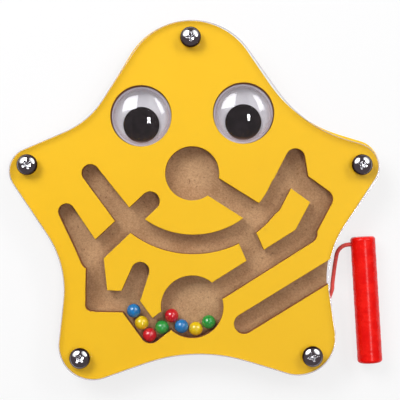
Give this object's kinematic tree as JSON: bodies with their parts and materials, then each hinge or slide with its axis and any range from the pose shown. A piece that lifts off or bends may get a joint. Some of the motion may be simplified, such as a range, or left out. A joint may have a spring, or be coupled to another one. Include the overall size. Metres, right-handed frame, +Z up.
{
  "type": "wooden maze puzzle",
  "caption": "Star-shaped wooden bead maze with a smiling face: steel balls under a clear cover are led through the channels by a magnetic pen on a cord.",
  "frame": {"origin": "bottom centre of the box round the board and the pen, on the surface that the feet and the pen rest on", "axes": "+X across the board to the side where the pen lies, +Y towards the top of the face, +Z up out of the clear cover"},
  "size_m": [0.1571, 0.1504, 0.0178],
  "materials": {
    "maze_paint": "satin yellow lacquer on board",
    "fibreboard": "bare pressed fibre, speckled",
    "clear_sheet": "clear polished acrylic sheet",
    "eye_cup": "clear thermoformed plastic",
    "eye_white": "white plastic card",
    "pupil_black": "gloss black disc",
    "screw_chrome": "bright nickel plate",
    "ball_blue": "gloss blue coat on steel",
    "ball_yellow": "gloss yellow coat on steel",
    "ball_red": "gloss red coat on steel",
    "ball_green": "gloss green coat on steel",
    "pen_lacquer": "gloss red lacquer on turned wood",
    "magnet_steel": "nickel-plated magnet",
    "cord_red": "fine round braid"
  },
  "bodies": {
    "root": {"base_board": "fibreboard", "maze_frame": "maze_paint", "smile_island": "maze_paint", "cheek_island": "maze_paint", "clear_cover": "clear_sheet", "screw_top": "screw_chrome", "screw_left": "screw_chrome", "screw_right": "screw_chrome", "screw_low_left": "screw_chrome", "screw_low_right": "screw_chrome", "nut_top": "screw_chrome", "nut_left": "screw_chrome", "nut_right": "screw_chrome", "nut_low_left": "screw_chrome", "nut_low_right": "screw_chrome", "eye_backing_left": "eye_white", "eye_backing_right": "eye_white", "eye_dome_left": "eye_cup", "eye_dome_right": "eye_cup", "cord_knot_board": "cord_red", "cord_lead": "cord_red", "cord_coil": "cord_red", "cord_free": "cord_red"},
    "pen": {"pen_body": "pen_lacquer", "pen_magnet": "magnet_steel"},
    "left_pupil": {"pupil_left": "pupil_black"},
    "right_pupil": {"pupil_right": "pupil_black"},
    "blue_1": {"ball_blue_1": "ball_blue"},
    "yellow_1": {"ball_yellow_1": "ball_yellow"},
    "red_1": {"ball_red_1": "ball_red"},
    "green_1": {"ball_green_1": "ball_green"},
    "red_2": {"ball_red_2": "ball_red"},
    "blue_2": {"ball_blue_2": "ball_blue"},
    "yellow_2": {"ball_yellow_2": "ball_yellow"},
    "green_2": {"ball_green_2": "ball_green"}
  },
  "joints": [
    {"name": "pen_lift", "type": "slide", "parent": "root", "child": "pen", "axis": [0, 0, 1], "range_m": [0, 0.06], "deforming": ["cord_free"]},
    {"name": "pupil_left_roll", "type": "hinge", "parent": "root", "child": "left_pupil", "pos_m": [-0.02363, 0.0353, 0.0077], "axis": [0, 0, 1], "continuous": true},
    {"name": "pupil_right_roll", "type": "hinge", "parent": "root", "child": "right_pupil", "pos_m": [0.0194, 0.03646, 0.0077], "axis": [0, 0, 1], "continuous": true},
    {"name": "ball_blue_1_slide", "type": "slide", "parent": "root", "child": "blue_1", "axis": [-0.5502, 0.8351, 0], "range_m": [0, 0.006]},
    {"name": "ball_yellow_1_slide", "type": "slide", "parent": "root", "child": "yellow_1", "axis": [-0.5502, 0.8351, 0], "range_m": [0, 0.006]},
    {"name": "ball_red_1_slide", "type": "slide", "parent": "root", "child": "red_1", "axis": [-0.5502, 0.8351, 0], "range_m": [0, 0.006]},
    {"name": "ball_green_1_slide", "type": "slide", "parent": "root", "child": "green_1", "axis": [-0.5502, 0.8351, 0], "range_m": [0, 0.0012]},
    {"name": "ball_red_2_roll", "type": "hinge", "parent": "root", "child": "red_2", "pos_m": [-0.00215, -0.04473, 0.00885], "axis": [0, 0, 1], "continuous": true},
    {"name": "ball_blue_2_roll", "type": "hinge", "parent": "root", "child": "blue_2", "pos_m": [-0.00215, -0.04473, 0.00885], "axis": [0, 0, 1], "continuous": true},
    {"name": "ball_yellow_2_roll", "type": "hinge", "parent": "root", "child": "yellow_2", "pos_m": [-0.00215, -0.04473, 0.00885], "axis": [0, 0, 1], "continuous": true},
    {"name": "ball_green_2_roll", "type": "hinge", "parent": "root", "child": "green_2", "pos_m": [-0.00215, -0.04473, 0.00885], "axis": [0, 0, 1], "continuous": true}
  ],
  "couplings": [
    {"joint": "ball_yellow_1_slide", "follows": "ball_blue_1_slide", "ratio": 1},
    {"joint": "ball_red_1_slide", "follows": "ball_blue_1_slide", "ratio": 1},
    {"joint": "ball_green_1_slide", "follows": "ball_blue_1_slide", "ratio": 0.2},
    {"joint": "ball_blue_2_roll", "follows": "ball_red_2_roll", "ratio": 1},
    {"joint": "ball_yellow_2_roll", "follows": "ball_red_2_roll", "ratio": 1},
    {"joint": "ball_green_2_roll", "follows": "ball_red_2_roll", "ratio": 1}
  ]
}
